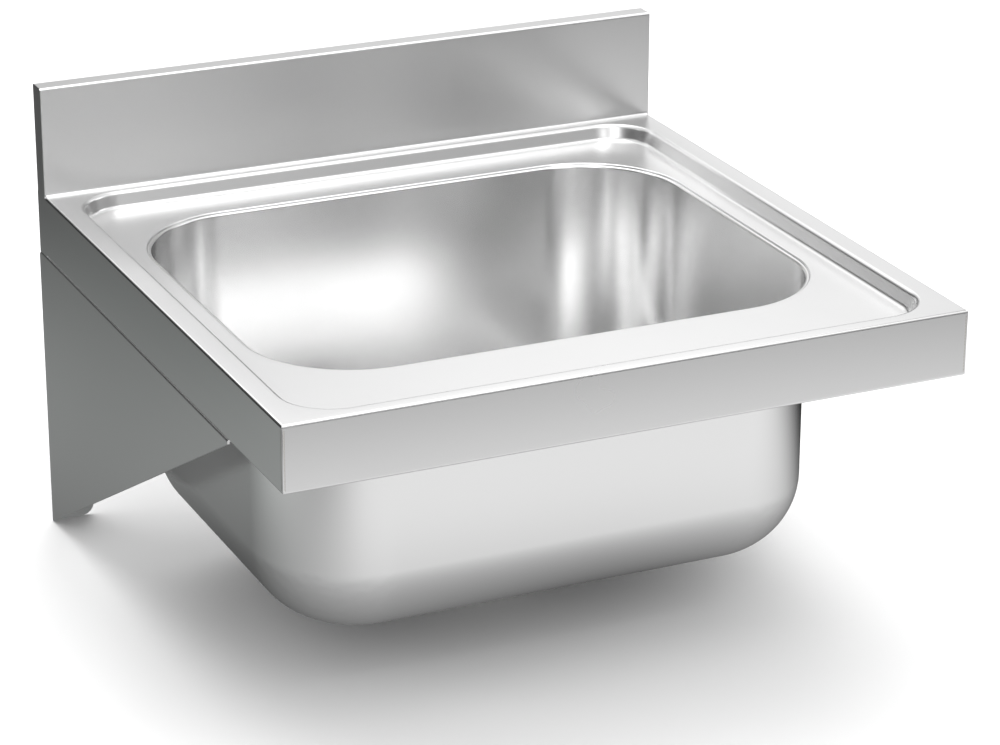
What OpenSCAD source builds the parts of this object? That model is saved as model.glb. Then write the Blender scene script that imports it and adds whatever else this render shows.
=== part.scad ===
/* [Worktop] */
// Width of the worktop from side to side
top_w = 600; // [580:5:760]
// Depth of the worktop from its front to its back
top_d = 600; // [590:5:700]
// Thickness of the worktop's sheet
top_sheet = 1.5; // [1.2:0.1:1.6]
// Height of the apron along the front and the sides
apron_h = 57; // [48:1:80]
// Width of the return at the foot of the apron
hem_w = 22; // [20:1:26]
// Outside radius of the folds in the worktop and the brackets
fold_r = 2.3; // [2.2:0.1:3]
// Radius ground on the welded corners and on the edges of the splashback's ends
ground_r = 1; // [0.5:0.1:1.1]

/* [Splashback] */
// Height of the splashback above the worktop
splash_h = 100; // [60:5:200]
// Thickness of the splashback from front to back
splash_t = 20; // [15:1:30]
// Height of the splashback's return, down its back
splash_return = 60; // [30:5:100]
// Radius of the cove where the worktop turns up into the splashback
cove_r = 3; // [1:0.5:5]

/* [Pressed step] */
// Flat border beside the pressed step, left and right
step_side = 18; // [10:1:22]
// Flat border in front of the pressed step
step_front = 12; // [8:1:20]
// Flat border between the pressed step and the splashback
step_rear = 8.5; // [6:0.5:12]
// Depth of the pressed step
step_depth = 14; // [11:0.5:18]
// Corner radius of the step's outline
step_corner_r = 46; // [30:1:60]
// Radius of the rolls at the top and foot of the step's wall
step_roll_r = 4.5; // [2.5:0.5:5]
// Distance that the step's wall covers in plan, with its rolls
step_run = 11.4; // [9.5:0.1:13]

/* [Bowl] */
// Width of the bowl between its walls at the rim
bowl_w = 500; // [470:5:505]
// Depth of the bowl from its front wall to its rear wall at the rim
bowl_d = 400; // [370:5:410]
// Depth of the bowl below the pressed step
bowl_h = 250; // [180:5:255]
// Distance from the splashback to the bowl's rear wall
bowl_rear = 66; // [52:1:76]
// Thickness of the bowl's sheet
bowl_sheet = 1; // [0.8:0.1:1.2]
// Radius of the bowl's upright corners
bowl_corner_r = 92; // [80:1:105]
// Radius where the bowl's walls run into its floor
bowl_floor_r = 69; // [40:1:74]
// Radius of the roll at the bowl's rim
rim_r = 2; // [1.5:0.1:3]
// Level land between the rim's roll and the edge of the worktop's opening
rim_land = 1.3; // [0.5:0.1:2]
// Width of the weld flange under the worktop
rim_flange = 12; // [8:1:14]
// Radius of the shallow fall towards the outlet
fall_r = 90; // [70:1:92]
// Drop of that fall
fall_h = 3; // [1:0.5:6]

/* [Stiffeners] */
// Thickness of the stiffeners' sheet
rail_sheet = 1.2; // [1:0.1:1.5]
// Height of the stiffeners' upright legs
rail_h = 22; // [12:1:30]
// Width of the stiffeners' weld flanges, with the fold
rail_flange = 13; // [10:1:14]

/* [Brackets] */
// Thickness of the brackets' sheet
bracket_sheet = 2; // [1.5:0.1:2.1]
// Height of the brackets at the wall
bracket_h = 266.5; // [262:0.5:320]
// Reach of the brackets from the wall
bracket_reach = 485; // [440:5:560]
// Height of the blunt tip at the front of the brackets
bracket_tip = 4; // [3:0.5:10]
// Width of the flange that the worktop rests on
rest_flange = 27; // [26:1:32]
// Width of the flange against the wall
wall_flange = 40; // [36:1:60]
// Corner radius of the wall flange
wall_flange_r = 11; // [4:1:14]
// Gap between the worktop's back and the wall
wall_gap = 5; // [4:0.5:10]
// Diameter of the holes for the wall screws
wall_hole_d = 9; // [7:0.5:11]
// Distance from the bracket's outer face to the wall holes
wall_hole_side = 22; // [18:1:26]
// Height between the two wall holes of a bracket
wall_hole_pitch = 200; // [120:5:220]

/* [Bolts] */
// Diameter of the bolts between worktop and brackets
bolt_d = 6; // [5:1:6]
// Distance from the worktop's side to the bolts
bolt_side = 12.5; // [11.5:0.5:13]
// Distance between neighbouring bolts
bolt_pitch = 160; // [120:5:170]
// Number of bolts in each bracket
bolt_count = 3; // [2:1:3]

/* [Waste] */
// Diameter of the outlet hole in the bowl
outlet_hole_d = 52; // [50:0.5:56]
// Diameter of the strainer's flange
strainer_d = 70; // [66:1:76]
// Thickness of the strainer's sheet
strainer_sheet = 1; // [0.8:0.1:1.5]
// Diameter inside the strainer's cup at its mouth
cup_d = 43; // [40:0.5:44]
// Depth of the strainer's cup
cup_h = 12; // [10:0.5:14]
// Narrowing of the strainer's cup from mouth to floor
cup_taper = 3; // [1:0.5:4]
// Number of slots in the strainer
slot_count = 6; // [4:1:8]
// Thickness of the seal under the strainer's flange
upper_seal_t = 2; // [1:0.5:3]
// Thickness of the seal under the bowl
lower_seal_t = 3; // [2:0.5:4]
// Height of the waste body
waste_h = 45; // [42:1:47]
// Thickness of the waste body's flange
waste_flange_t = 4; // [3:0.5:5]
// Outside diameter of the outlet's thread
thread_d = 47.8; // [47:0.1:50]
// Length of the outlet's thread
thread_l = 20; // [12:1:22]
// Diameter of the bore inside the outlet
outlet_bore_d = 40; // [36:1:42]
// Diameter of the strainer's screw
screw_d = 6; // [5:0.5:6]

/* [Plug] */
// Diameter of the plug's lip
plug_lip_d = 54; // [52:1:58]
// Thickness of the plug's lip
plug_lip_t = 3; // [2:0.5:5]
// Thickness of the rivet head under the plug
rivet_h = 1; // [0.5:0.5:1.5]
// Radius of the pull ring, to the middle of its wire
ring_r = 11; // [9:0.5:12]
// Diameter of the pull ring's wire
ring_wire_d = 2.4; // [2:0.1:3]
// Height of the eye's hole above the plug's lip
eye_h = 6; // [5:0.5:8]

/* [Underside] */
// Length of the sound pads
pad_l = 140; // [60:5:180]
// Width of the sound pads
pad_w = 60; // [40:5:70]
// Thickness of the sound pads
pad_t = 2; // [1.5:0.5:4]
// Width of the earth tag
tag_w = 18; // [16:1:24]
// Thickness of the earth tag
tag_t = 2; // [1:0.5:3]
// Diameter of the hole in the earth tag
tag_hole_d = 6.4; // [4.5:0.1:8.5]

/* [Hidden] */
$fn = 72;
// Small gap between pieces that pass one another
slack = 0.3;
// Gap between a screw and the thread that holds it
thread_slack = 0.05;
// Distance that a cut runs past the faces that it cuts
over = 1;
// Open length at the end of a fold, where two folds meet
bend_relief = 2;

// Heights are taken from the top of the worktop, and the origin lies between the four wall holes
deck_z = apron_h + bracket_h / 2;
back_y = -wall_gap;
front_y = back_y - top_d;
splash_y = back_y - splash_t;
side_x = top_w / 2;

// Pressed step
step_w = top_w - 2 * step_side;
step_d = splash_y - step_rear - front_y - step_front;
step_y = front_y + step_front + step_d / 2;
step_fall = step_depth - 2 * step_roll_r;
step_slope = atan2(step_fall, step_run) + asin(2 * step_roll_r / norm([step_fall, step_run]));

// Bowl
flange_z = -step_depth - top_sheet;
bowl_y = splash_y - bowl_rear - bowl_d / 2;
bowl_floor_z = -step_depth - bowl_h;
opening_edge = rim_r + rim_land;

// Waste
seat_slack = 2;
seat_r = strainer_d / 2 + seat_slack;
seat_h = upper_seal_t + strainer_sheet;
seat_z = bowl_floor_z - fall_h - seat_h;
strainer_z = seat_z + seat_h;
lower_seal_z = seat_z - bowl_sheet;
waste_z = lower_seal_z - lower_seal_t;
cup_floor_z = strainer_z - cup_h;
cup_r = cup_d / 2;
cup_foot_r = cup_r - cup_taper / 2;
seal_r = strainer_d / 2 - 2;
slot_r = 1.8;
slot_margin = 2;
boss_r = 7;
insert_r = 4.5;
spider_z = cup_floor_z - strainer_sheet;
spider_h = 14;
arm_t = 3;
arm_h = 5;
socket_slack = 0.5;
waste_wall = 2.5;
thread_relief = 1;
screw_l = 18;
screw_head_r = 5.5;
screw_head_h = 2.5;
screw_slot = 1.2;

// Plug and its ring
plug_h = cup_h - screw_head_h - rivet_h - 2 * slack;
plug_edge = 1;
eye_r = 4.5;
eye_hole_r = ring_wire_d / 2 + 0.7;
eye_t = 3;
eye_stem_r = 2;
eye_z = strainer_z + plug_lip_t + eye_h;
ring_lie = asin((eye_h - ring_wire_d / 2 - slack) / (2 * ring_r));

// Fasteners, by the usual proportions of their thread
hex_across = bolt_d * 1.67;
bolt_head_h = bolt_d * 0.67;
nut_h = bolt_d * 0.83;
washer_r = bolt_d;
washer_t = bolt_d * 0.25;
bolt_hole_r = bolt_d / 2 + slack;
bolt_end = 2;
bolt_x = side_x - bolt_side;
bolt_y = [for (i = [0:bolt_count - 1]) -bracket_reach / 2 + (i - (bolt_count - 1) / 2) * bolt_pitch];
grip = top_sheet + bracket_sheet;

module from_deck() {
    translate([0, 0, deck_z]) children();
}

// Rectangle with round corners, about its middle
module round_rect(w, d, r) {
    union() {
        square([w - 2 * r, d], center = true);
        square([w, d - 2 * r], center = true);
        for (x = [-1, 1], y = [-1, 1]) {
            translate([x * (w / 2 - r), y * (d / 2 - r)]) circle(r);
        }
    }
}

// Section of a bend about the origin, from angle a to angle b
module bend(r, t, a, b) {
    reach = 2 * (r + t);
    intersection() {
        difference() {
            circle(r + t);
            circle(r);
        }
        polygon([[0, 0], reach * [cos(a), sin(a)], reach * [cos(b), sin(b)]]);
    }
}

// Section of a folded sheet that starts at the origin along X and lies on the +Y side of its line.
// Each step is a straight length, a turn (left is positive) and the bend's inside radius.
module folded(steps, t, i = 0) {
    run = steps[i][0];
    turn = steps[i][1];
    r = steps[i][2];
    if (run > 0) square([run, t]);
    if (i < len(steps) - 1) {
        arm = turn > 0 ? t + r : -r;
        translate([run, arm]) {
            if (turn > 0) bend(r, t, -90, turn - 90);
            if (turn < 0) bend(r, t, 90 + turn, 90);
            rotate(turn) translate([0, -arm]) folded(steps, t, i + 1);
        }
    }
}

// Runs a section round a rectangle with round corners: the section's X points outwards from the
// centres of the corners, and its Y points up
module round_sweep(w, d, r) {
    for (q = [0:3]) {
        across = q % 2 == 0 ? w : d;
        along = q % 2 == 0 ? d : w;
        rotate(90 * q) {
            translate([across / 2 - r, along / 2 - r, 0]) rotate_extrude(angle = 90) children();
            translate([across / 2 - r, along / 2 - r, 0]) {
                rotate([90, 0, 0]) linear_extrude(along - 2 * r) children();
            }
        }
    }
}

// Points on an arc about a centre
function arc(centre, r, from, to, parts = 6) =
    [for (i = [0:parts]) centre + r * [cos(from + (to - from) * i / parts), sin(from + (to - from) * i / parts)]];

// Section of the pressed step's wall, from the flat border down to the step's floor
module step_section() {
    border = [step_corner_r, -step_roll_r];
    floor = [step_corner_r - step_run, step_roll_r - step_depth];
    foot_a = step_slope - 90;
    polygon(concat(
        arc(border, step_roll_r, 90, 90 + step_slope),
        arc(floor, step_roll_r, foot_a, -90),
        arc(floor, step_roll_r + top_sheet, -90, foot_a),
        arc(border, step_roll_r - top_sheet, 90 + step_slope, 90)
    ));
}

// Level sheet with the pressed step in it and the opening for the bowl
module pressed_deck() {
    translate([0, 0, -top_sheet]) linear_extrude(top_sheet) difference() {
        translate([fold_r - side_x, front_y + fold_r]) {
            square([top_w - 2 * fold_r, splash_y - cove_r - front_y - fold_r]);
        }
        translate([0, step_y]) round_rect(step_w, step_d, step_corner_r);
    }
    translate([0, step_y, 0]) round_sweep(step_w, step_d, step_corner_r) step_section();
    edge = opening_edge + top_sheet;
    translate([0, 0, flange_z]) linear_extrude(top_sheet) difference() {
        translate([0, step_y]) {
            round_rect(step_w - 2 * step_run, step_d - 2 * step_run, step_corner_r - step_run);
        }
        translate([0, bowl_y]) round_rect(bowl_w + 2 * edge, bowl_d + 2 * edge, bowl_corner_r + edge);
    }
    translate([0, bowl_y, flange_z]) round_sweep(bowl_w, bowl_d, bowl_corner_r) {
        translate([bowl_corner_r + edge, 0]) intersection() {
            circle(top_sheet);
            translate([-top_sheet, 0]) square(top_sheet);
        }
    }
}

// Section of the apron with its return: X points outwards from the fold
module apron_section() {
    in_r = fold_r - top_sheet;
    translate([-fold_r, 0]) mirror([0, 1]) folded([
        [0, 90, in_r],
        [apron_h - 2 * fold_r, 90, in_r],
        [hem_w - fold_r, 0, 0]
    ], top_sheet);
}

// Keeps what lies within the mitre planes of a side that faces +X, over the given length
module mitred(length) {
    intersection() {
        children();
        translate([0, 0, -apron_h - over]) linear_extrude(apron_h + 2 * over) {
            polygon([
                [0, -length / 2],
                [0, length / 2],
                [-hem_w - over, length / 2],
                [-hem_w - over, hem_w + over - length / 2]
            ]);
        }
    }
}

// Apron along one side, with its front end mitred
module side_apron() {
    length = splash_y - front_y;
    translate([side_x, front_y + length / 2, 0]) mitred(length) {
        translate([0, length / 2, 0]) rotate([90, 0, 0]) linear_extrude(length) apron_section();
    }
}

// Apron along the front, mitred at both ends
module front_apron() {
    translate([0, front_y, 0]) rotate(-90) {
        mitred(top_w) mirror([0, 1, 0]) mitred(top_w) {
            translate([0, side_x, 0]) rotate([90, 0, 0]) linear_extrude(top_w) apron_section();
        }
    }
}

// The three aprons, with their welded front corners ground round
module aprons() {
    intersection() {
        union() {
            side_apron();
            mirror([1, 0, 0]) side_apron();
            front_apron();
        }
        translate([0, 0, -apron_h - over]) linear_extrude(apron_h + 2 * over) union() {
            translate([-side_x, front_y + ground_r]) square([top_w, splash_y - front_y - ground_r]);
            translate([ground_r - side_x, front_y]) square([top_w - 2 * ground_r, ground_r]);
            for (x = [-1, 1]) {
                translate([x * (side_x - ground_r), front_y + ground_r]) circle(ground_r);
            }
        }
    }
}

// Cove, splashback and its return
module splash() {
    in_r = fold_r - top_sheet;
    translate([top_sheet - side_x, splash_y - cove_r, -top_sheet]) rotate([90, 0, 90]) {
        linear_extrude(top_w - 2 * top_sheet) folded([
            [0, 90, cove_r],
            [splash_h - cove_r - fold_r, -90, in_r],
            [splash_t - 2 * fold_r, -90, in_r],
            [splash_return - fold_r, 0, 0]
        ], top_sheet);
    }
}

module bolt_holes() {
    for (x = [-1, 1], y = bolt_y) {
        translate([x * bolt_x, y, -apron_h - bracket_sheet - over]) {
            cylinder(r = bolt_hole_r, h = grip + 2 * over);
        }
    }
}

module worktop() {
    color("gainsboro") from_deck() difference() {
        union() {
            pressed_deck();
            aprons();
            splash();
        }
        bolt_holes();
    }
}

// Section of a plate's end with its outer corners ground round
module ground_end(length) {
    translate([ground_r, 0]) square([top_sheet - ground_r, length]);
    translate([0, ground_r]) square([top_sheet, length - 2 * ground_r]);
    for (y = [ground_r, length - ground_r]) {
        translate([ground_r, y]) circle(ground_r);
    }
}

// Plate that closes the left end of the splashback, down to the foot of the apron
module splash_end() {
    translate([-side_x, splash_y, 0]) {
        intersection() {
            rotate([90, 0, 90]) linear_extrude(top_sheet) union() {
                square([splash_t, splash_h - fold_r]);
                translate([fold_r, 0]) square([splash_t - 2 * fold_r, splash_h]);
                for (y = [fold_r, splash_t - fold_r]) {
                    translate([y, splash_h - fold_r]) circle(fold_r);
                }
            }
            linear_extrude(splash_h) ground_end(splash_t);
            translate([0, splash_t, -splash_h]) rotate([90, 0, 0]) {
                linear_extrude(splash_t) ground_end(2 * splash_h);
            }
        }
        translate([0, 0, -apron_h]) cube([top_sheet, splash_t, apron_h]);
    }
}

module splash_end_left() {
    color("gray") from_deck() splash_end();
}

module splash_end_right() {
    color("gray") from_deck() mirror([1, 0, 0]) splash_end();
}

// Section of the bowl from the corner's centre on the floor up to the weld flange
module bowl_section() {
    translate([0, bowl_floor_z - bowl_sheet]) folded([
        [bowl_corner_r - bowl_floor_r, 90, bowl_floor_r],
        [flange_z - bowl_floor_z - rim_r - bowl_floor_r, -90, rim_r - bowl_sheet],
        [rim_land + top_sheet + rim_flange, 0, 0]
    ], bowl_sheet);
}

// Middle of the bowl's floor, with the fall and the strainer's seat pressed into it
module bowl_middle() {
    low = -bowl_sheet;
    translate([0, 0, low]) linear_extrude(bowl_sheet) difference() {
        square([bowl_w - 2 * bowl_corner_r, bowl_d - 2 * bowl_corner_r], center = true);
        circle(fall_r);
    }
    top = [
        [fall_r, 0],
        [seat_r + seat_h, -fall_h],
        [seat_r, -fall_h - seat_h],
        [outlet_hole_d / 2, -fall_h - seat_h]
    ];
    rotate_extrude() polygon(concat(
        [for (p = top) p],
        [for (i = [len(top) - 1:-1:0]) top[i] + [0, low]]
    ));
}

module bowl() {
    color("silver") from_deck() translate([0, bowl_y, 0]) {
        round_sweep(bowl_w, bowl_d, bowl_corner_r) bowl_section();
        translate([0, 0, bowl_floor_z]) bowl_middle();
    }
}

// Angle along X that is welded under the step's floor: its leg stands in the plane y = 0, and its
// flange points towards -Y
module stiffener() {
    length = step_w - 2 * step_corner_r;
    in_r = rail_sheet;
    color("darkgray") translate([-length / 2, -rail_flange, 0]) rotate([90, 0, 90]) {
        linear_extrude(length) mirror([0, 1]) folded([
            [rail_flange - in_r - rail_sheet, 90, in_r],
            [rail_h - in_r - rail_sheet, 0, 0]
        ], rail_sheet);
    }
}

module front_stiffener() {
    from_deck() translate([0, front_y + step_front + step_run, flange_z]) mirror([0, 1, 0]) stiffener();
}

module rear_stiffener() {
    from_deck() translate([0, splash_y - step_rear - step_run, flange_z]) stiffener();
}

// Tag welded to the rear stiffener, with a hole for the building's earth wire
module earth_tag() {
    y = splash_y - step_rear - step_run - rail_sheet;
    lap = rail_h - 3 * rail_sheet;
    color("silver") from_deck() translate([0, y, flange_z - rail_h]) rotate([90, 0, 0]) {
        linear_extrude(tag_t) difference() {
            union() {
                translate([-tag_w / 2, -tag_w / 2]) square([tag_w, tag_w / 2 + lap]);
                translate([0, -tag_w / 2]) circle(tag_w / 2);
            }
            translate([0, -tag_w / 2]) circle(tag_hole_d / 2);
        }
    }
}

// Bracket on the left: side plate, flange under the worktop and flange on the wall
module bracket() {
    in_r = fold_r - bracket_sheet;
    top = -apron_h;
    foot = top - bracket_h;
    relief = fold_r + bend_relief;
    translate([-side_x, 0, 0]) {
        rotate([90, 0, 90]) linear_extrude(bracket_sheet) union() {
            polygon([
                [-fold_r, top - fold_r],
                [-bracket_reach, top - fold_r],
                [-bracket_reach, top - bracket_tip],
                [-relief, foot],
                [-fold_r, foot]
            ]);
        }
        translate([0, -relief, top]) rotate([90, 0, 0]) linear_extrude(bracket_reach - relief) {
            translate([fold_r, -fold_r]) bend(in_r, bracket_sheet, 90, 180);
        }
        difference() {
            translate([fold_r, -bracket_reach, top - bracket_sheet]) {
                cube([rest_flange - fold_r, bracket_reach - relief, bracket_sheet]);
            }
            translate([rest_flange, -bracket_reach, top]) rotate(45) {
                cube([rest_flange, rest_flange, 3 * bracket_sheet], center = true);
            }
        }
        translate([0, 0, foot]) linear_extrude(bracket_h - relief) {
            translate([fold_r, -fold_r]) bend(in_r, bracket_sheet, 90, 180);
        }
        translate([0, 0, foot]) rotate([90, 0, 0]) linear_extrude(bracket_sheet) difference() {
            translate([fold_r, 0]) square([wall_flange - fold_r, bracket_h - relief]);
            translate([wall_flange - wall_flange_r, 0]) difference() {
                square(wall_flange_r);
                translate([0, wall_flange_r]) circle(wall_flange_r);
            }
            for (z = [-1, 1]) {
                translate([wall_hole_side, bracket_h / 2 + z * wall_hole_pitch / 2]) circle(wall_hole_d / 2);
            }
        }
    }
}

module bracket_left() {
    color("dimgray") from_deck() difference() {
        bracket();
        bolt_holes();
    }
}

module bracket_right() {
    color("dimgray") from_deck() mirror([1, 0, 0]) difference() {
        bracket();
        bolt_holes();
    }
}

module at_bolts() {
    for (x = [-1, 1], y = bolt_y) translate([x * bolt_x, y, 0]) children();
}

// Hexagon of the given size across its flats
module hexagon(across) {
    circle(across / 2 / cos(30), $fn = 6);
}

// The bolts come up from below, through the bracket and the apron's return
module bracket_bolts() {
    head_z = -apron_h - bracket_sheet - washer_t;
    color("lightgray") from_deck() at_bolts() {
        translate([0, 0, head_z - bolt_head_h]) linear_extrude(bolt_head_h) hexagon(hex_across);
        translate([0, 0, head_z]) cylinder(d = bolt_d, h = grip + 2 * washer_t + nut_h + bolt_end);
    }
}

module bracket_washers() {
    color("lightgray") from_deck() at_bolts() {
        for (z = [-apron_h - bracket_sheet - washer_t, -apron_h + top_sheet]) {
            translate([0, 0, z]) linear_extrude(washer_t) difference() {
                circle(washer_r);
                circle(bolt_hole_r);
            }
        }
    }
}

module bracket_nuts() {
    color("lightgray") from_deck() at_bolts() {
        translate([0, 0, -apron_h + top_sheet + washer_t]) linear_extrude(nut_h) difference() {
            hexagon(hex_across);
            circle(bolt_d / 2 + thread_slack);
        }
    }
}

// Everything about the outlet's axis
module at_outlet() {
    from_deck() translate([0, bowl_y, 0]) children();
}

// Pressed flange and cup, with slots round the screw
module strainer() {
    t = strainer_sheet;
    hole_r = screw_d / 2 + slack;
    slot_in = boss_r + slot_margin;
    slot_out = cup_foot_r - slot_margin - slot_r / 2;
    color("silver") at_outlet() difference() {
        rotate_extrude() polygon([
            [strainer_d / 2, strainer_z - t],
            [strainer_d / 2, strainer_z - t / 2],
            [strainer_d / 2 - t, strainer_z],
            [cup_r, strainer_z],
            [cup_foot_r, cup_floor_z],
            [hole_r, cup_floor_z],
            [hole_r, cup_floor_z - t],
            [cup_foot_r + t, cup_floor_z - t],
            [cup_r + t, strainer_z - t]
        ]);
        for (i = [0:slot_count - 1]) rotate(360 / slot_count * i) {
            translate([0, 0, cup_floor_z - 2 * t]) linear_extrude(3 * t) {
                translate([slot_in, -slot_r]) square([slot_out - slot_in, 2 * slot_r]);
                translate([slot_in, 0]) circle(slot_r);
                translate([slot_out, 0]) circle(slot_r);
            }
        }
    }
}

module upper_seal() {
    color("dimgray") at_outlet() translate([0, 0, seat_z]) linear_extrude(upper_seal_t) difference() {
        circle(seal_r);
        circle(outlet_hole_d / 2);
    }
}

module lower_seal() {
    color("dimgray") at_outlet() translate([0, 0, waste_z]) linear_extrude(lower_seal_t) difference() {
        circle(seal_r);
        circle(outlet_hole_d / 2);
    }
}

// Moulded body: flange, socket round the strainer's cup, spider for the screw and threaded outlet
module waste_body() {
    socket_r = cup_r + strainer_sheet + socket_slack;
    foot_z = waste_z - waste_h;
    bore_r = outlet_bore_d / 2;
    neck_z = spider_z - spider_h / 2;
    slope = socket_r - bore_r;
    thread_r = thread_d / 2;
    color("whitesmoke") at_outlet() difference() {
        union() {
            rotate_extrude() polygon([
                [seal_r, waste_z],
                [seal_r, waste_z - waste_flange_t],
                [socket_r + waste_wall, waste_z - waste_flange_t],
                [socket_r + waste_wall, neck_z - slope],
                [thread_r - thread_relief, neck_z - slope - waste_wall],
                [thread_r - thread_relief, foot_z + thread_l],
                [thread_r, foot_z + thread_l],
                [thread_r, foot_z],
                [bore_r, foot_z],
                [bore_r, neck_z - slope],
                [socket_r, neck_z],
                [socket_r, waste_z]
            ]);
            translate([0, 0, spider_z - spider_h]) {
                cylinder(r = boss_r, h = spider_h);
                for (a = [90, 210, 330]) rotate(a) {
                    translate([0, -arm_t / 2, 0]) cube([bore_r + waste_wall / 2, arm_t, arm_h]);
                }
            }
        }
        translate([0, 0, spider_z - spider_h - over]) cylinder(r = insert_r, h = spider_h + 2 * over);
    }
}

module strainer_insert() {
    color("goldenrod") at_outlet() translate([0, 0, spider_z - spider_h]) linear_extrude(spider_h) {
        difference() {
            circle(insert_r);
            circle(screw_d / 2 + thread_slack);
        }
    }
}

module strainer_screw() {
    color("silver") at_outlet() {
        translate([0, 0, cup_floor_z]) difference() {
            cylinder(r1 = screw_head_r, r2 = screw_head_r - screw_head_h / 2, h = screw_head_h);
            translate([-screw_head_r, -screw_slot / 2, screw_head_h / 2]) {
                cube([2 * screw_head_r, screw_slot, screw_head_h]);
            }
        }
        translate([0, 0, cup_floor_z - screw_l]) cylinder(d = screw_d, h = screw_l);
    }
}

module plug() {
    foot_in = cup_taper / 2 * plug_h / cup_h;
    color("dimgray") at_outlet() translate([0, 0, strainer_z]) rotate_extrude() polygon([
        [eye_stem_r, plug_lip_t],
        [plug_lip_d / 2 - plug_edge, plug_lip_t],
        [plug_lip_d / 2, plug_lip_t - plug_edge],
        [plug_lip_d / 2, 0],
        [cup_r - slack, 0],
        [cup_r - slack - foot_in, -plug_h],
        [eye_stem_r, -plug_h]
    ]);
}

// Eye on a stem through the plug, closed by a rivet head below
module plug_eye() {
    color("silver") at_outlet() {
        difference() {
            union() {
                translate([-eye_t / 2, 0, eye_z]) rotate([0, 90, 0]) cylinder(r = eye_r, h = eye_t);
                translate([-eye_t / 2, -eye_r, eye_z - eye_h]) cube([eye_t, 2 * eye_r, eye_h]);
            }
            translate([-eye_t, 0, eye_z]) rotate([0, 90, 0]) cylinder(r = eye_hole_r, h = 2 * eye_t);
        }
        translate([0, 0, strainer_z - plug_h]) cylinder(r = eye_stem_r, h = plug_h + plug_lip_t);
        translate([0, 0, strainer_z - plug_h - rivet_h]) cylinder(r = 2 * eye_stem_r, h = rivet_h);
    }
}

// The ring lies forwards on the plug's lip
module pull_ring() {
    color("silver") at_outlet() translate([0, 0, eye_z]) rotate([ring_lie, 0, 0]) {
        translate([0, -ring_r, 0]) rotate_extrude() translate([ring_r, 0]) circle(ring_wire_d / 2);
    }
}

// Pads glued under the level part of the bowl's floor, either side of the fall
module sound_pads() {
    middle = (fall_r + bowl_w / 2 - bowl_floor_r) / 2;
    color("darkslategray") at_outlet() for (x = [-1, 1]) {
        translate([x * middle - pad_w / 2, -pad_l / 2, bowl_floor_z - bowl_sheet - pad_t]) {
            cube([pad_w, pad_l, pad_t]);
        }
    }
}

worktop();
splash_end_left();
splash_end_right();
bowl();
front_stiffener();
rear_stiffener();
earth_tag();
sound_pads();
bracket_left();
bracket_right();
bracket_bolts();
bracket_washers();
bracket_nuts();
strainer();
upper_seal();
lower_seal();
waste_body();
strainer_insert();
strainer_screw();
plug();
plug_eye();
pull_ring();
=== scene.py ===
import math

import bmesh
import bpy
from mathutils import Matrix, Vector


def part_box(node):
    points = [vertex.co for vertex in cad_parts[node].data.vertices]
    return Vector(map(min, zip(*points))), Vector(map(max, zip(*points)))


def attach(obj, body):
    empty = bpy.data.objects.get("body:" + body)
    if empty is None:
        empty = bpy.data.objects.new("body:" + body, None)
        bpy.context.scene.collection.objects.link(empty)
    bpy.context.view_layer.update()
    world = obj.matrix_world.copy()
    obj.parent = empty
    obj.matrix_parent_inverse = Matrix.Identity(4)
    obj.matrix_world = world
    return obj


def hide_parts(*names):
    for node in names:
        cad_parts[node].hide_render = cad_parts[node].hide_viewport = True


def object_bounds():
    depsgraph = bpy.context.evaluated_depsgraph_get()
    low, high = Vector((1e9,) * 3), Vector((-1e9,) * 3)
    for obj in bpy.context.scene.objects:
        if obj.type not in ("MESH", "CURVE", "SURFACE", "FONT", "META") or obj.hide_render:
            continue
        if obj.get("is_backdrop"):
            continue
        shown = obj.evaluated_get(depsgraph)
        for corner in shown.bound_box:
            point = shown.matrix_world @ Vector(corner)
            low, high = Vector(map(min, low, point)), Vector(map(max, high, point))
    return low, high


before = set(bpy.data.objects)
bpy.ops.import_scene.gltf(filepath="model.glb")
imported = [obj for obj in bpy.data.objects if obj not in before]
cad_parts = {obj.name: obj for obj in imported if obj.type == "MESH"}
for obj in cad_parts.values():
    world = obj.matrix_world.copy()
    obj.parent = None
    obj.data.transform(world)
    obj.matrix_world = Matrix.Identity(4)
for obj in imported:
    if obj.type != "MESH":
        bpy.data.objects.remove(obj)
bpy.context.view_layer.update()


# ---------------------------------------------------------------- camera
# The camera stands a little to the left of the sink and above it, three metres off, with a long
# lens, so that the sink's parallel edges stay nearly parallel.
camera_data = bpy.data.cameras.new("camera")
camera_data.sensor_width = 36
camera_data.lens = 126.55
camera = bpy.data.objects.new("camera", camera_data)
bpy.context.scene.collection.objects.link(camera)
standpoint = (-1.1616, -2.8835, 1.20325)
turned_right, tilted_down, rolled = math.radians(24.57), math.radians(21.74), math.radians(0.14)
camera.matrix_world = (
    Matrix.Translation(standpoint)
    @ Matrix.Rotation(-turned_right, 4, "Z")
    @ Matrix.Rotation(math.radians(90) - tilted_down, 4, "X")
    @ Matrix.Rotation(rolled, 4, "Z")
)
bpy.context.scene.camera = camera
bpy.context.scene.view_settings.view_transform = "Standard"


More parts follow.
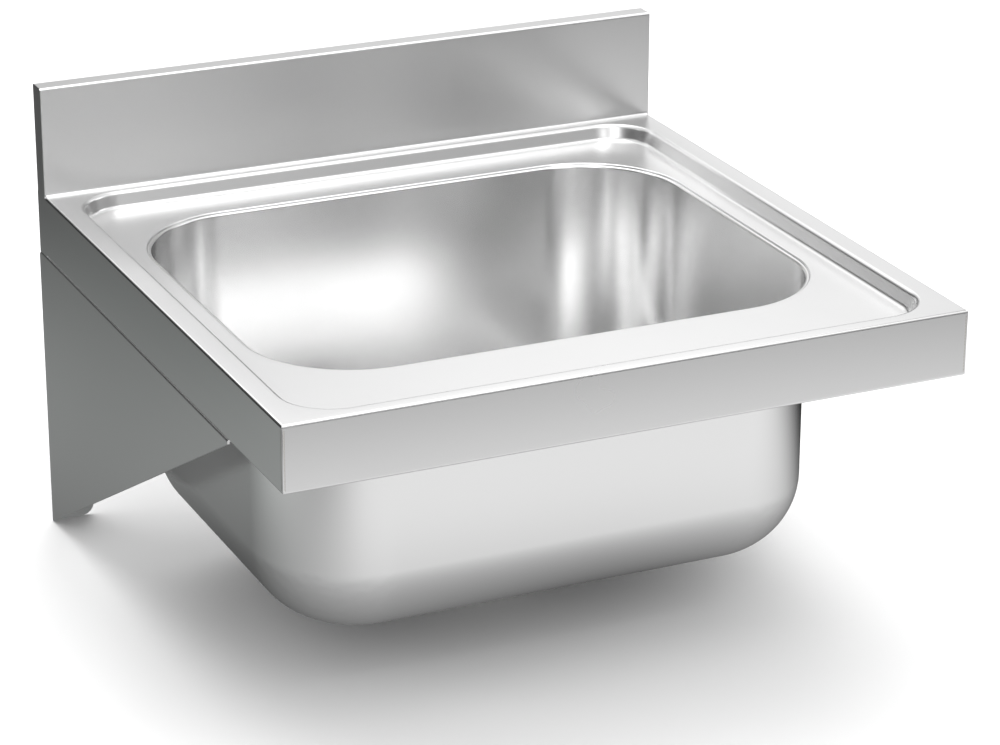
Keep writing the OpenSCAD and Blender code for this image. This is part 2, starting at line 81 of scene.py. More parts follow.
# ---------------------------------------------------------------- floor
# A wide pale floor just under the brackets' feet. The camera sees it white with the sink's shadow.
# The steel sees it glow in soft painted pools of light, as in a studio: white in front of the sink,
# and painted shade behind it and below.
gap_under_feet = 0.0007
floor_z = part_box("bracket_left")[0].z - gap_under_feet
floor_mesh = bpy.data.meshes.new("floor")
shape = bmesh.new()
bmesh.ops.create_grid(shape, x_segments=1, y_segments=1, size=14)
bmesh.ops.translate(shape, verts=shape.verts, vec=(0, 0, floor_z))
shape.to_mesh(floor_mesh)
shape.free()
floor = bpy.data.objects.new("floor", floor_mesh)
bpy.context.scene.collection.objects.link(floor)
floor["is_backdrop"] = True


def pool_of_light(tree, place, name, x, y, radius, grey):
    away = tree.nodes.new("ShaderNodeVectorMath")
    away.name = name
    away.operation = "DISTANCE"
    away.inputs[1].default_value = (x, y, floor_z)
    tree.links.new(place, away.inputs[0])
    pool = tree.nodes.new("ShaderNodeMapRange")
    pool.interpolation_type = "SMOOTHSTEP"
    pool.inputs["From Max"].default_value = radius
    pool.inputs["To Min"].default_value = grey
    pool.inputs["To Max"].default_value = 0
    tree.links.new(away.outputs["Value"], pool.inputs["Value"])
    return pool.outputs["Result"]


def add_light(tree, light, more, up_to_white):
    if light is None:
        return more
    both = tree.nodes.new("ShaderNodeMath")
    both.operation = "ADD"
    both.use_clamp = up_to_white
    tree.links.new(light, both.inputs[0])
    tree.links.new(more, both.inputs[1])
    return both.outputs["Value"]


def show_apart(tree, to_steel, to_camera, surface):
    ray = tree.nodes.new("ShaderNodeLightPath")
    which = tree.nodes.new("ShaderNodeMixShader")
    tree.links.new(ray.outputs["Is Camera Ray"], which.inputs["Fac"])
    tree.links.new(to_steel, which.inputs[1])
    tree.links.new(to_camera, which.inputs[2])
    tree.links.new(which.outputs["Shader"], surface)


floor_paint = bpy.data.materials.new("floor_paint")
floor_paint.use_nodes = True
tree = floor_paint.node_tree
nodes, links = tree.nodes, tree.links
nodes.clear()
place = nodes.new("ShaderNodeTexCoord").outputs["Object"]
# name: middle (x, y), radius, grey of the painted glow
painted_light_pools = {
    "front": (-0.2, -1.0, 0.85, 1.0),
    "front_right": (0.6, -1.0, 0.85, 1.0),
    "far_right": (1.5, -1.0, 0.85, 1.0),
    "below_right": (0.5, -0.5, 0.45, 0.35),
    "left": (-1.0, -0.3, 0.85, 0.75),
    "behind": (-0.2, 0.4, 0.85, 0.35),
    "far_behind": (-1.0, 1.2, 0.85, 0.14),
    "right": (1.5, 0.1, 0.8, 0.5),
    "behind_right": (0.6, 1.6, 1.3, 0.5),
}
# pale sums the painted pools of light and painted shade that the floor glows with for the steel
pale = None
for name, (x, y, radius, grey) in painted_light_pools.items():
    pool = pool_of_light(tree, place, name, x, y, radius, grey)
    pale = add_light(tree, pale, pool, up_to_white=True)
# on the left the floor's painted glow is faintly green, which shows in the sink's left faces
tint = nodes.new("ShaderNodeMix")
tint.data_type = "RGBA"
tint.inputs[6].default_value = (1, 1, 1, 1)
tint.inputs[7].default_value = (0.94, 1, 0.97, 1)
green_side = pool_of_light(tree, place, "green_side", -0.9, 0.4, 1.3, 1)
links.new(green_side, tint.inputs["Factor"])
# the painted glow: every ray but the camera's sees the floor as this emission, not lit by the lamps
painted_glow_for_steel = nodes.new("ShaderNodeEmission")
links.new(tint.outputs[2], painted_glow_for_steel.inputs["Color"])
links.new(pale, painted_glow_for_steel.inputs["Strength"])
seen_by_camera = nodes.new("ShaderNodeBsdfDiffuse")
seen_by_camera.inputs["Color"].default_value = (1, 1, 1, 1)
out = nodes.new("ShaderNodeOutputMaterial")
show_apart(
    tree, painted_glow_for_steel.outputs["Emission"], seen_by_camera.outputs["BSDF"], out.inputs["Surface"]
)
floor_mesh.materials.append(floor_paint)


# ---------------------------------------------------------------- studio light
# Plain soft light: a pale dome overhead, soft boxes high above and in front, and low ones behind on
# the right. The surroundings behind on the left stay dark. The camera itself sees white.
soft_box = bpy.data.node_groups.new("soft_box", "ShaderNodeTree")
for name, kind in (
    ("Direction", "NodeSocketVector"),
    ("Towards", "NodeSocketVector"),
    ("Full within", "NodeSocketFloat"),
    ("Gone beyond", "NodeSocketFloat"),
    ("Strength", "NodeSocketFloat"),
):
    soft_box.interface.new_socket(name, in_out="INPUT", socket_type=kind)
soft_box.interface.new_socket("Light", in_out="OUTPUT", socket_type="NodeSocketFloat")
nodes, links = soft_box.nodes, soft_box.links
given = nodes.new("NodeGroupInput")
meets = nodes.new("ShaderNodeVectorMath")
meets.operation = "DOT_PRODUCT"
links.new(given.outputs["Direction"], meets.inputs[0])
links.new(given.outputs["Towards"], meets.inputs[1])
angle = nodes.new("ShaderNodeMath")
angle.operation = "ARCCOSINE"
links.new(meets.outputs["Value"], angle.inputs[0])
degrees = nodes.new("ShaderNodeMath")
degrees.operation = "DEGREES"
links.new(angle.outputs["Value"], degrees.inputs[0])
soft_edge = nodes.new("ShaderNodeMapRange")
soft_edge.interpolation_type = "SMOOTHSTEP"
soft_edge.inputs["To Max"].default_value = 0
links.new(degrees.outputs["Value"], soft_edge.inputs["Value"])
links.new(given.outputs["Full within"], soft_edge.inputs["From Min"])
links.new(given.outputs["Gone beyond"], soft_edge.inputs["From Max"])
links.new(given.outputs["Strength"], soft_edge.inputs["To Min"])
out = nodes.new("NodeGroupOutput")
links.new(soft_edge.outputs["Result"], out.inputs["Light"])

world = bpy.data.worlds.new("studio")
bpy.context.scene.world = world
world.use_nodes = True
tree = world.node_tree
nodes, links = tree.nodes, tree.links
nodes.clear()
way = nodes.new("ShaderNodeTexCoord")
# name: bearing clockwise from straight back, height, full within, gone beyond (degrees), strength
soft_boxes = {
    "dome": (0, 90, 45, 75, 0.8),
    "above_left": (270, 80, 2, 20, 2.0),
    "high_back": (0, 62, 2, 38, 2.08),
    "high_right": (40, 64, 2, 22, 1.68),
    "high_front": (160, 64, 2, 22, 3.04),
    "front": (180, 46, 2, 18, 0.8),
    "right": (105, 28, 2, 15, 2.24),
    "left": (285, 28, 2, 15, 2.4),
    "front_left": (210, 28, 2, 15, 3.12),
    "back": (15, 28, 2, 15, 0.4),
    "back_right": (30, 28, 2, 15, 1.36),
    "low_front": (180, 10, 2, 18, 2.8),
    "low_front_left": (220, 10, 2, 18, 1.6),
    "low_back": (20, 10, 2, 18, 0.44),
    "low_back_right": (40, 10, 2, 18, 0.16),
    "wide_front": (150, 10, 30, 85, 0.28),
}
light = None
for name, (bearing, height, full, gone, strength) in soft_boxes.items():
    box_light = nodes.new("ShaderNodeGroup")
    box_light.node_tree = soft_box
    box_light.name = name
    bearing, height = math.radians(bearing), math.radians(height)
    box_light.inputs["Towards"].default_value = (
        math.sin(bearing) * math.cos(height),
        math.cos(bearing) * math.cos(height),
        math.sin(height),
    )
    box_light.inputs["Full within"].default_value = full
    box_light.inputs["Gone beyond"].default_value = gone
    box_light.inputs["Strength"].default_value = strength
    links.new(way.outputs["Generated"], box_light.inputs["Direction"])
    light = add_light(tree, light, box_light.outputs["Light"], up_to_white=False)
studio_light = nodes.new("ShaderNodeBackground")
studio_light.inputs["Color"].default_value = (1, 1, 1, 1)
links.new(light, studio_light.inputs["Strength"])
white = nodes.new("ShaderNodeBackground")
white.inputs["Color"].default_value = (1, 1, 1, 1)
out = nodes.new("ShaderNodeOutputWorld")
show_apart(tree, studio_light.outputs["Background"], white.outputs["Background"], out.inputs["Surface"])


# ---------------------------------------------------------------- worktop
# One sheet of stainless steel, 1.5 mm thick: pressed with the step, folded into aprons with
# returns and up into the splashback, then rubbed to a fine satin.
def noise(tree, place, size, detail=2):
    specks = tree.nodes.new("ShaderNodeTexNoise")
    specks.inputs["Scale"].default_value = size
    specks.inputs["Detail"].default_value = detail
    tree.links.new(place, specks.inputs["Vector"])
    return specks.outputs["Fac"]


def dent(tree, height):
    dented = tree.nodes.new("ShaderNodeBump")
    dented.inputs["Strength"].default_value = 1
    tree.links.new(height, dented.inputs["Height"])
    return dented


def maths(tree, operation, first, second):
    worked = tree.nodes.new("ShaderNodeMath")
    worked.operation = operation
    for socket, value in zip(worked.inputs, (first, second)):
        if isinstance(value, bpy.types.NodeSocket):
            tree.links.new(value, socket)
        else:
            socket.default_value = value
    return worked.outputs["Value"]


satin = bpy.data.node_groups.new("satin_grain", "ShaderNodeTree")
for name, kind, value in (
    ("Steel", "NodeSocketColor", (0.63, 0.63, 0.63, 1)),
    ("Roughness", "NodeSocketFloat", 0.25),
    ("Unevenness", "NodeSocketFloat", 0.03),
    ("Grain size", "NodeSocketVector", (60, 900, 900)),
    ("Grain depth", "NodeSocketFloat", 0.00001),
):
    satin.interface.new_socket(name, in_out="INPUT", socket_type=kind).default_value = value
satin.interface.new_socket("Color", in_out="OUTPUT", socket_type="NodeSocketColor")
satin.interface.new_socket("Roughness", in_out="OUTPUT", socket_type="NodeSocketFloat")
satin.interface.new_socket("Normal", in_out="OUTPUT", socket_type="NodeSocketVector")
nodes, links = satin.nodes, satin.links
given = nodes.new("NodeGroupInput")
place = nodes.new("ShaderNodeTexCoord").outputs["Object"]
stretched = nodes.new("ShaderNodeVectorMath")
stretched.operation = "MULTIPLY"
links.new(place, stretched.inputs[0])
links.new(given.outputs["Grain size"], stretched.inputs[1])
grain = dent(satin, noise(satin, stretched.outputs["Vector"], 1))
links.new(given.outputs["Grain depth"], grain.inputs["Distance"])
patches = maths(satin, "SUBTRACT", noise(satin, place, 9, 3), 0.5)
swing = maths(satin, "MULTIPLY", patches, given.outputs["Unevenness"])
rough = maths(satin, "ADD", given.outputs["Roughness"], swing)
brighter = maths(satin, "ADD", 1, swing)
shade = nodes.new("ShaderNodeVectorMath")
shade.operation = "SCALE"
links.new(given.outputs["Steel"], shade.inputs[0])
links.new(brighter, shade.inputs["Scale"])
out = nodes.new("NodeGroupOutput")
links.new(shade.outputs["Vector"], out.inputs["Color"])
links.new(rough, out.inputs["Roughness"])
links.new(grain.outputs["Normal"], out.inputs["Normal"])


def steel_finish(name, steel, roughness, unevenness, grain_size, grain_depth):
    finish = bpy.data.materials.new(name)
    finish.use_nodes = True
    nodes, links = finish.node_tree.nodes, finish.node_tree.links
    metal = nodes["Principled BSDF"]
    metal.inputs["Metallic"].default_value = 1
    surface = nodes.new("ShaderNodeGroup")
    surface.node_tree = satin
    surface.inputs["Steel"].default_value = (*steel, 1)
    surface.inputs["Roughness"].default_value = roughness
    surface.inputs["Unevenness"].default_value = unevenness
    surface.inputs["Grain size"].default_value = grain_size
    surface.inputs["Grain depth"].default_value = grain_depth
    links.new(surface.outputs["Color"], metal.inputs["Base Color"])
    links.new(surface.outputs["Roughness"], metal.inputs["Roughness"])
    links.new(surface.outputs["Normal"], metal.inputs["Normal"])
    return finish


crease = bpy.data.node_groups.new("crease_at_sharp_edges", "GeometryNodeTree")
crease.interface.new_socket("Geometry", in_out="INPUT", socket_type="NodeSocketGeometry")
crease.interface.new_socket("Geometry", in_out="OUTPUT", socket_type="NodeSocketGeometry")
nodes, links = crease.nodes, crease.links
given = nodes.new("NodeGroupInput")
smooth = nodes.new("GeometryNodeSetShadeSmooth")
links.new(given.outputs["Geometry"], smooth.inputs["Geometry"])
edge_angle = nodes.new("GeometryNodeInputMeshEdgeAngle")
steep = nodes.new("FunctionNodeCompare")
steep.inputs[1].default_value = math.radians(24)
links.new(edge_angle.outputs["Unsigned Angle"], steep.inputs[0])
sharp = nodes.new("GeometryNodeSetShadeSmooth")
sharp.domain = "EDGE"
sharp.inputs["Shade Smooth"].default_value = False
links.new(smooth.outputs["Geometry"], sharp.inputs["Geometry"])
links.new(steep.outputs["Result"], sharp.inputs["Selection"])
out = nodes.new("NodeGroupOutput")
links.new(sharp.outputs["Geometry"], out.inputs["Geometry"])


def dress(name, finish):
    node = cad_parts[name]
    node.data.materials.clear()
    node.data.materials.append(finish)
    weld = node.modifiers.new("weld", "WELD")
    weld.merge_threshold = 0.00001
    creased = node.modifiers.new("crease", "NODES")
    creased.node_group = crease
    weighted = node.modifiers.new("weighted", "WEIGHTED_NORMAL")
    weighted.mode = "FACE_AREA_WITH_ANGLE"
    weighted.keep_sharp = True
    weighted.weight = 100


worktop_steel = steel_finish("worktop_steel", (0.8, 0.8, 0.8), 0.28, 0.03, (70, 900, 900), 0.000004)
dress("worktop", worktop_steel)


# ---------------------------------------------------------------- splashback ends
# Small plates that close the splashback's two ends. They are welded in, ground flush and rubbed
# like the worktop, so they share its finish.
dress("splash_end_left", worktop_steel)
dress("splash_end_right", worktop_steel)


# ---------------------------------------------------------------- front corner welds
# The aprons meet at the front corners, where they are welded inside with a thin rippled bead.
# Each ripple is where the pool of melted steel set before the next drop.
def verts_in(parts):
    return [part for part in parts if isinstance(part, bmesh.types.BMVert)]


def all_of(shape):
    return list(shape.verts) + list(shape.edges) + list(shape.faces)


def copy_to(shape, places):
    first = all_of(shape)
    for place in places:
        copied = bmesh.ops.duplicate(shape, geom=first)
        bmesh.ops.translate(shape, verts=verts_in(copied["geom"]), vec=place)
    bmesh.ops.delete(shape, geom=verts_in(first))


def add_piece(name, shape, finish, body):
    mesh = bpy.data.meshes.new(name)
    shape.to_mesh(mesh)
    shape.free()
    mesh.materials.append(finish)
    piece = bpy.data.objects.new(name, mesh)
    bpy.context.scene.collection.objects.link(piece)
    creased = piece.modifiers.new("crease", "NODES")
    creased.node_group = crease
    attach(piece, body)
    return piece


weld_steel = steel_finish("weld_steel", (0.5, 0.47, 0.42), 0.35, 0.25, (400, 400, 400), 0.00003)
top_low, top_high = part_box("worktop")
bead_in, bead_start, ripple_pitch, ripples = 0.002, 0.004, 0.0013, 38
shape = bmesh.new()
bmesh.ops.create_icosphere(
    shape, subdivisions=2, radius=0.0022, matrix=Matrix.Diagonal((1, 1, 0.6, 1))
)
copy_to(shape, [
    (
        side * (top_high.x - bead_in),
        top_low.y + bead_in,
        top_low.z + bead_start + ripple_pitch * i,
    )
    for side in (-1, 1)
    for i in range(ripples)
])
add_piece("front_corner_welds", shape, weld_steel, "sink")


# ---------------------------------------------------------------- bowl
# Deep drawn from one sheet of 1 mm steel, with a flange that is welded under the worktop's opening.
# The drawing leaves the steel a little coarser than the worktop.
bowl_steel = steel_finish("bowl_steel", (0.8, 0.8, 0.8), 0.22, 0.04, (500, 500, 500), 0.00002)
dress("bowl", bowl_steel)


# ---------------------------------------------------------------- bowl's spot welds
# A ring of small dimples under the bowl's flange, where the welding tongs pressed the two sheets
# together. They sit along the middle of the flange, closer round its corners.
def turned(shape, profile, steps, closed=False):
    corners = [shape.verts.new((radius, 0, height)) for radius, height in profile]
    pairs = list(zip(corners, corners[1:]))
    if closed:
        pairs.append((corners[-1], corners[0]))
    edges = [shape.edges.new(pair) for pair in pairs]
    bmesh.ops.spin(
        shape,
        geom=corners + edges,
        cent=(0, 0, 0),
        axis=(0, 0, 1),
        angle=2 * math.pi,
        steps=steps,
        use_merge=True,
    )
    bmesh.ops.remove_doubles(shape, verts=shape.verts, dist=0.000001)


def dimple(radius, proud):
    sunk = 0.0004
    shape = bmesh.new()
    turned(
        shape,
        [
            (0, sunk),
            (radius, sunk),
            (radius, 0),
            (0.8 * radius, -proud),
            (0.5 * radius, -0.00006),
            (0, -0.00004),
        ],
        16,
    )
    bmesh.ops.recalc_face_normals(shape, faces=shape.faces)
    return shape


bowl_low, bowl_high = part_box("bowl")
flange_under = bowl_high.z - 0.001
middle_y = (bowl_low.y + bowl_high.y) / 2
# the straight stretches' half lengths, and the radius of the ring at the corners
straight_x, straight_y, corner = 0.158, 0.108, 0.1025
places = []
for side in (-1, 1):
    for i in range(9):
        along = -straight_x + i * straight_x / 4
        places.append((along, middle_y + side * (straight_y + corner), flange_under))
    for i in range(7):
        along = middle_y - straight_y + i * straight_y / 3
        places.append((side * (straight_x + corner), along, flange_under))
    for side_y in (-1, 1):
        for turn in (22.5, 45, 67.5):
            turn = math.radians(turn)
            places.append((
                side * (straight_x + corner * math.cos(turn)),
                middle_y + side_y * (straight_y + corner * math.sin(turn)),
                flange_under,
            ))
shape = dimple(0.003, 0.00025)
copy_to(shape, places)
add_piece("bowl_spot_welds", shape, weld_steel, "sink")


# ---------------------------------------------------------------- stiffeners
# Two angles of plain mill steel, spot-welded under the front shelf and under the rear of the step,
# so that the worktop doesn't drum or bend.
stiffener_steel = steel_finish(
    "stiffener_steel", (0.55, 0.55, 0.55), 0.38, 0.1, (25, 500, 500), 0.00001
)
dress("front_stiffener", stiffener_steel)
dress("rear_stiffener", stiffener_steel)
end_margin, angle_thick, welds = 0.02, 0.0012, 9
places = []
for name in ("front_stiffener", "rear_stiffener"):
    low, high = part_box(name)
    pitch = (high.x - low.x - 2 * end_margin) / (welds - 1)
    for i in range(welds):
        places.append((low.x + end_margin + i * pitch, (low.y + high.y) / 2, high.z - angle_thick))
shape = dimple(0.0028, 0.00025)
copy_to(shape, places)
add_piece("stiffener_spot_welds", shape, weld_steel, "sink")


# ---------------------------------------------------------------- earth tag
# A small plate with a hole for the earth wire's screw, spot-welded to the rear stiffener and of
# the same mill steel.
dress("earth_tag", stiffener_steel)


# ---------------------------------------------------------------- sound pads
# Two self-adhesive bitumen pads under the bowl, embossed with squares by the roller that made the
# sheet. They damp the sound of the water.
def two_tones(tree, mask, dark, pale):
    tone = tree.nodes.new("ShaderNodeValToRGB")
    tone.color_ramp.elements[0].color = (*dark, 1)
    tone.color_ramp.elements[1].color = (*pale, 1)
    tree.links.new(mask, tone.inputs["Fac"])
    return tone.outputs["Color"]


def open_edges(shape):
    return [edge for edge in shape.edges if edge.is_boundary]


pad_bitumen = bpy.data.materials.new("pad_bitumen")
pad_bitumen.use_nodes = True
tree = pad_bitumen.node_tree
nodes, links = tree.nodes, tree.links
tar = nodes["Principled BSDF"]
tar.inputs["Roughness"].default_value = 0.7
place = nodes.new("ShaderNodeTexCoord").outputs["Object"]
fibre = noise(tree, place, 700, 6)
tone = two_tones(tree, fibre, (0.025, 0.025, 0.027), (0.075, 0.075, 0.08))
links.new(tone, tar.inputs["Base Color"])
felt = dent(tree, fibre)
felt.inputs["Distance"].default_value = 0.0002
links.new(felt.outputs["Normal"], tar.inputs["Normal"])

low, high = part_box("sound_pads")
pad_x, pad_y, emboss = 0.06, 0.14, 0.0006
shape = bmesh.new()
for side in (-1, 1):
    bmesh.ops.create_grid(
        shape,
        x_segments=6,
        y_segments=14,
        size=0.5,
        matrix=Matrix.Translation(
            (side * (high.x - pad_x / 2), (low.y + high.y) / 2, low.z + emboss)
        )
        @ Matrix.Rotation(math.pi, 4, "Y")
        @ Matrix.Diagonal((pad_x, pad_y, 1, 1)),
    )
squares = list(shape.faces)
walls = bmesh.ops.extrude_edge_only(shape, edges=open_edges(shape))
bmesh.ops.translate(shape, verts=verts_in(walls["geom"]), vec=(0, 0, high.z - low.z - emboss))
bmesh.ops.holes_fill(shape, edges=open_edges(shape))
bmesh.ops.inset_individual(shape, faces=squares, thickness=0.0012, depth=emboss)
bmesh.ops.recalc_face_normals(shape, faces=shape.faces)
pads = add_piece("sound_pads_embossed", shape, pad_bitumen, "sink")
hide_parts("sound_pads")


# ---------------------------------------------------------------- brackets
# Side plates folded from 2 mm steel, with a flange under the worktop and a flange on the wall.
# Their grain runs upright.
bracket_steel = steel_finish("bracket_steel", (0.8, 0.8, 0.8), 0.36, 0.03, (900, 900, 60), 0.000004)
dress("bracket_left", bracket_steel)
dress("bracket_right", bracket_steel)


# ---------------------------------------------------------------- bolts, washers and nuts
# Six M6 bolts hold the brackets to the worktop's returns. Heads and nuts are hexagons with the
# corners turned off, and the threads are rolled.
fastener_steel = steel_finish(
    "fastener_steel", (0.62, 0.62, 0.63), 0.16, 0.03, (300, 300, 300), 0.000004
)
dress("bracket_washers", fastener_steel)


def hexagon(shape, across, low, high, bore):
    flat, middle, chamfer = 0.47 * across, 0.5 * across, 0.0002
    before = set(shape.verts)
    turned(
        shape,
        [
            (bore, low),
            (flat, low),
            (middle, low + chamfer),
            (middle, high - chamfer),
            (flat, high),
            (bore, high),
        ],
        48,
        closed=bore > 0,
    )
    for vert in set(shape.verts) - before:
        if math.hypot(vert.co.x, vert.co.y) > 0.49 * across:
            turn = math.atan2(vert.co.y, vert.co.x) % math.radians(60) - math.radians(30)
            reach = middle / math.cos(turn)
            vert.co.x, vert.co.y = vert.co.x * reach / middle, vert.co.y * reach / middle
            vert.co.z += math.copysign(0.55 * (reach - middle), (low + high) / 2 - vert.co.z)


def thread(shape, crest, root, pitch, low, high, steps):
    turns = math.ceil((high - low) / pitch) + 2
    teeth = [(root, 0), (crest, 0.4), (crest, 0.52), (root, 0.92), (root, 1)]
    corners = [shape.verts.new((radius, 0, low + (part - 1) * pitch)) for radius, part in teeth]
    edges = [shape.edges.new(pair) for pair in zip(corners, corners[1:])]
    bmesh.ops.spin(
        shape,
        geom=corners + edges,
        cent=(0, 0, 0),
        axis=(0, 0, 1),
        dvec=(0, 0, pitch / steps),
        angle=2 * math.pi * turns,
        steps=steps * turns,
    )
    bmesh.ops.remove_doubles(shape, verts=shape.verts, dist=0.00001)
    for height, up in ((low, False), (high, True)):
        bmesh.ops.bisect_plane(
            shape,
            geom=all_of(shape),
            plane_co=(0, 0, height),
            plane_no=(0, 0, 1),
            clear_outer=up,
            clear_inner=not up,
        )


def draw_to(verts, radius):
    for vert in verts:
        reach = math.hypot(vert.co.x, vert.co.y)
        vert.co.x, vert.co.y = radius * vert.co.x / reach, radius * vert.co.y / reach


bolt_low, bolt_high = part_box("bracket_bolts")
washer_low, washer_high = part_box("bracket_washers")
nut_low, nut_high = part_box("bracket_nuts")
across_flats, bolt_radius, root_radius, bolt_pitch = 0.01, 0.003, 0.0024, 0.001
tip_height, tip_radius = 0.0006, 0.0022
bolt_at = [(side * 0.2875, y, 0) for side in (-1, 1) for y in (-0.4025, -0.2425, -0.0825)]

shape = bmesh.new()
thread_low, thread_high = washer_low.z + 0.0008, bolt_high.z - tip_height
thread(shape, bolt_radius, root_radius, bolt_pitch, thread_low, thread_high, 24)
top_rim = [edge for edge in open_edges(shape) if edge.verts[0].co.z > nut_high.z]
tip = verts_in(bmesh.ops.extrude_edge_only(shape, edges=top_rim)["geom"])
bmesh.ops.translate(shape, verts=tip, vec=(0, 0, tip_height))
draw_to(tip, tip_radius)
bmesh.ops.holes_fill(shape, edges=open_edges(shape))
hexagon(shape, across_flats, bolt_low.z, washer_low.z, 0)
bmesh.ops.create_cone(
    shape,
    cap_ends=True,
    segments=24,
    radius1=bolt_radius,
    radius2=bolt_radius,
    depth=0.001,
    matrix=Matrix.Translation((0, 0, washer_low.z + 0.0004)),
)
bmesh.ops.recalc_face_normals(shape, faces=shape.faces)
copy_to(shape, bolt_at)
bolts = add_piece("bracket_bolts_threaded", shape, fastener_steel, "sink")
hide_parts("bracket_bolts")

shape = bmesh.new()
hexagon(shape, across_flats, nut_low.z, nut_high.z, bolt_radius + 0.00005)
bmesh.ops.recalc_face_normals(shape, faces=shape.faces)
copy_to(shape, bolt_at)
nuts = add_piece("bracket_nuts_chamfered", shape, fastener_steel, "sink")
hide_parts("bracket_nuts")


# ---------------------------------------------------------------- strainer
# Pressed from stainless steel and polished: a flange that rests on the upper seal, and a cup with
# six slots that keeps back what would block the trap.
waste_steel = steel_finish("waste_steel", (0.7, 0.7, 0.7), 0.1, 0.02, (300, 300, 300), 0.000002)
dress("strainer", waste_steel)


# ---------------------------------------------------------------- seals
# Black rubber rings above and below the bowl's floor, clamped between the strainer and the waste
# body. Old rubber blooms a little, so it is uneven in gloss.
def gloss_between(tree, mask, glossy, dull):
    gloss = tree.nodes.new("ShaderNodeMapRange")
    gloss.inputs["To Min"].default_value = glossy
    gloss.inputs["To Max"].default_value = dull
    tree.links.new(mask, gloss.inputs["Value"])
    return gloss.outputs["Result"]


rubber = bpy.data.node_groups.new("rubber_skin", "ShaderNodeTree")
for name, grey in (("Dark", 0.01), ("Dusty", 0.03)):
    given = rubber.interface.new_socket(name, in_out="INPUT", socket_type="NodeSocketColor")
    given.default_value = (grey, grey, grey, 1)
rubber.interface.new_socket("Color", in_out="OUTPUT", socket_type="NodeSocketColor")
rubber.interface.new_socket("Roughness", in_out="OUTPUT", socket_type="NodeSocketFloat")
rubber.interface.new_socket("Normal", in_out="OUTPUT", socket_type="NodeSocketVector")
nodes, links = rubber.nodes, rubber.links
given = nodes.new("NodeGroupInput")
place = nodes.new("ShaderNodeTexCoord").outputs["Object"]
bloom = noise(rubber, place, 60, 5)
tone = nodes.new("ShaderNodeMix")
tone.data_type = "RGBA"
links.new(bloom, tone.inputs["Factor"])
links.new(given.outputs["Dark"], tone.inputs[6])
links.new(given.outputs["Dusty"], tone.inputs[7])
pores = dent(rubber, noise(rubber, place, 1500))
pores.inputs["Distance"].default_value = 0.00003
out = nodes.new("NodeGroupOutput")
links.new(tone.outputs[2], out.inputs["Color"])
links.new(gloss_between(rubber, bloom, 0.42, 0.7), out.inputs["Roughness"])
links.new(pores.outputs["Normal"], out.inputs["Normal"])


def rubber_finish(name, dark, dusty):
    finish = bpy.data.materials.new(name)
    finish.use_nodes = True
    nodes, links = finish.node_tree.nodes, finish.node_tree.links
    skin = nodes["Principled BSDF"]
    surface = nodes.new("ShaderNodeGroup")
    surface.node_tree = rubber
    surface.inputs["Dark"].default_value = (dark, dark, dark, 1)
    surface.inputs["Dusty"].default_value = (dusty, dusty, dusty, 1)
    links.new(surface.outputs["Color"], skin.inputs["Base Color"])
    links.new(surface.outputs["Roughness"], skin.inputs["Roughness"])
    links.new(surface.outputs["Normal"], skin.inputs["Normal"])
    return finish


seal_rubber = rubber_finish("seal_rubber", 0.008, 0.02)
dress("upper_seal", seal_rubber)
dress("lower_seal", seal_rubber)


# ---------------------------------------------------------------- waste body
# Moulded in white plastic below the bowl, with a rolled pipe thread round the outlet for the nut
# of the trap.
waste_plastic = bpy.data.materials.new("waste_plastic")
waste_plastic.use_nodes = True
tree = waste_plastic.node_tree
nodes, links = tree.nodes, tree.links
moulding = nodes["Principled BSDF"]
moulding.inputs["Specular IOR Level"].default_value = 0.5
place = nodes.new("ShaderNodeTexCoord").outputs["Object"]
flow = noise(tree, place, 40)
tone = two_tones(tree, flow, (0.74, 0.74, 0.71), (0.82, 0.82, 0.8))
links.new(tone, moulding.inputs["Base Color"])
links.new(gloss_between(tree, flow, 0.3, 0.5), moulding.inputs["Roughness"])
skin = dent(tree, noise(tree, place, 1200))
skin.inputs["Distance"].default_value = 0.00002
links.new(skin.outputs["Normal"], moulding.inputs["Normal"])

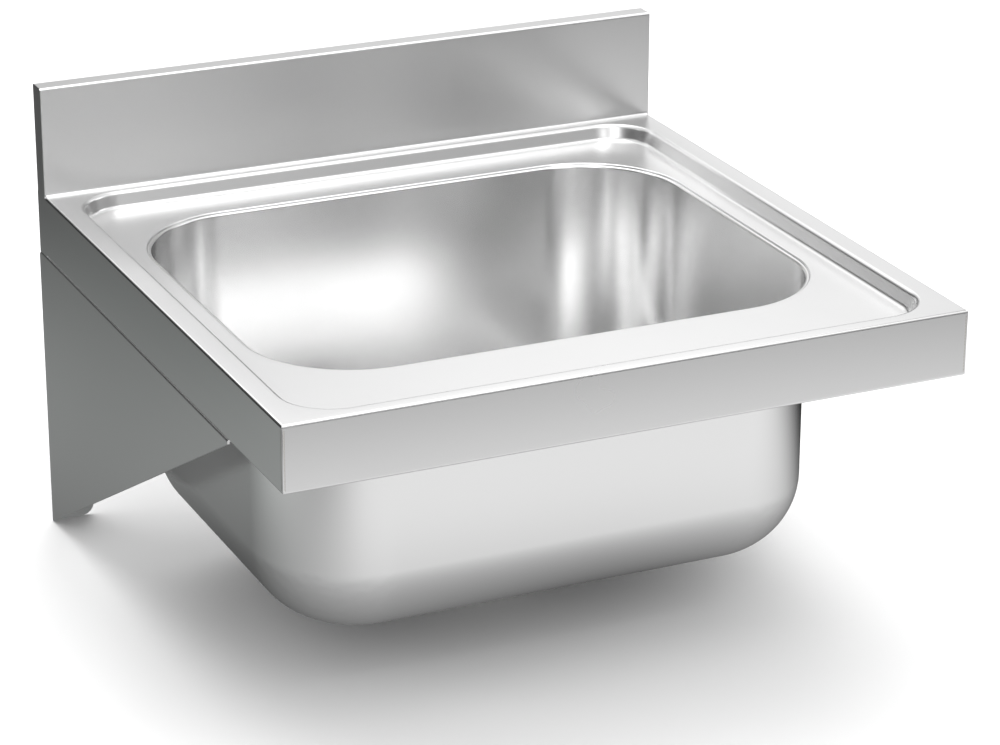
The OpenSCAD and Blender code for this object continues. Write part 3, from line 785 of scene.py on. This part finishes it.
waste_low, waste_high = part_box("waste_body")
pipe_crest, pipe_root, pipe_bore, pipe_pitch = 0.0239, 0.0226, 0.02, 0.00231
thread_low, thread_high = waste_low.z + 0.0012, waste_low.z + 0.02
shape = bmesh.new()
shape.from_mesh(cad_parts["waste_body"].data)
bmesh.ops.remove_doubles(shape, verts=shape.verts, dist=0.00001)
bmesh.ops.translate(shape, verts=shape.verts, vec=(0, -middle_y, 0))
bmesh.ops.bisect_plane(
    shape,
    geom=all_of(shape),
    plane_co=(0, 0, thread_high + 0.0004),
    plane_no=(0, 0, 1),
    clear_inner=True,
)
bmesh.ops.bridge_loops(shape, edges=open_edges(shape))
bmesh.ops.recalc_face_normals(shape, faces=shape.faces)

pipe = bmesh.new()
thread(pipe, pipe_crest, pipe_root, pipe_pitch, thread_low, thread_high, 72)
lower_rim = [edge for edge in open_edges(pipe) if edge.verts[0].co.z < thread_high - 0.005]
upper_rim = [edge for edge in open_edges(pipe) if edge.verts[0].co.z >= thread_high - 0.005]
for rim, rings in (
    (lower_rim, ((0.0222, -0.0012), (pipe_bore, 0))),
    (upper_rim, ((0.0228, 0.001), (pipe_bore, 0))),
):
    for radius, rise in rings:
        grown = bmesh.ops.extrude_edge_only(pipe, edges=rim)["geom"]
        draw_to(verts_in(grown), radius)
        bmesh.ops.translate(pipe, verts=verts_in(grown), vec=(0, 0, rise))
        rim = [edge for edge in grown if isinstance(edge, bmesh.types.BMEdge) and edge.is_boundary]
bmesh.ops.bridge_loops(pipe, edges=open_edges(pipe))
bmesh.ops.recalc_face_normals(pipe, faces=pipe.faces)
pipe_mesh = bpy.data.meshes.new("pipe")
pipe.to_mesh(pipe_mesh)
pipe.free()
shape.from_mesh(pipe_mesh)
bmesh.ops.translate(shape, verts=shape.verts, vec=(0, middle_y, 0))
waste = add_piece("waste_body_threaded", shape, waste_plastic, "sink")
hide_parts("waste_body")


# ---------------------------------------------------------------- insert and screw
# A turned brass insert, moulded into the spider of the waste body, takes the steel screw that
# clamps strainer, seals and waste together.
insert_brass = steel_finish(
    "insert_brass", (0.75, 0.55, 0.25), 0.2, 0.1, (200, 200, 3000), 0.00001
)
dress("strainer_insert", insert_brass)
dress("strainer_screw", waste_steel)


# ---------------------------------------------------------------- plug
# A rubber stopper that sits in the strainer's mouth. Its eye, on a riveted stem, and the pull ring
# are polished steel.
plug_rubber = rubber_finish("plug_rubber", 0.012, 0.03)
dress("plug", plug_rubber)
dress("plug_eye", waste_steel)
dress("pull_ring", waste_steel)


# ---------------------------------------------------------------- sizes
# The finished model's box.
low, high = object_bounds()
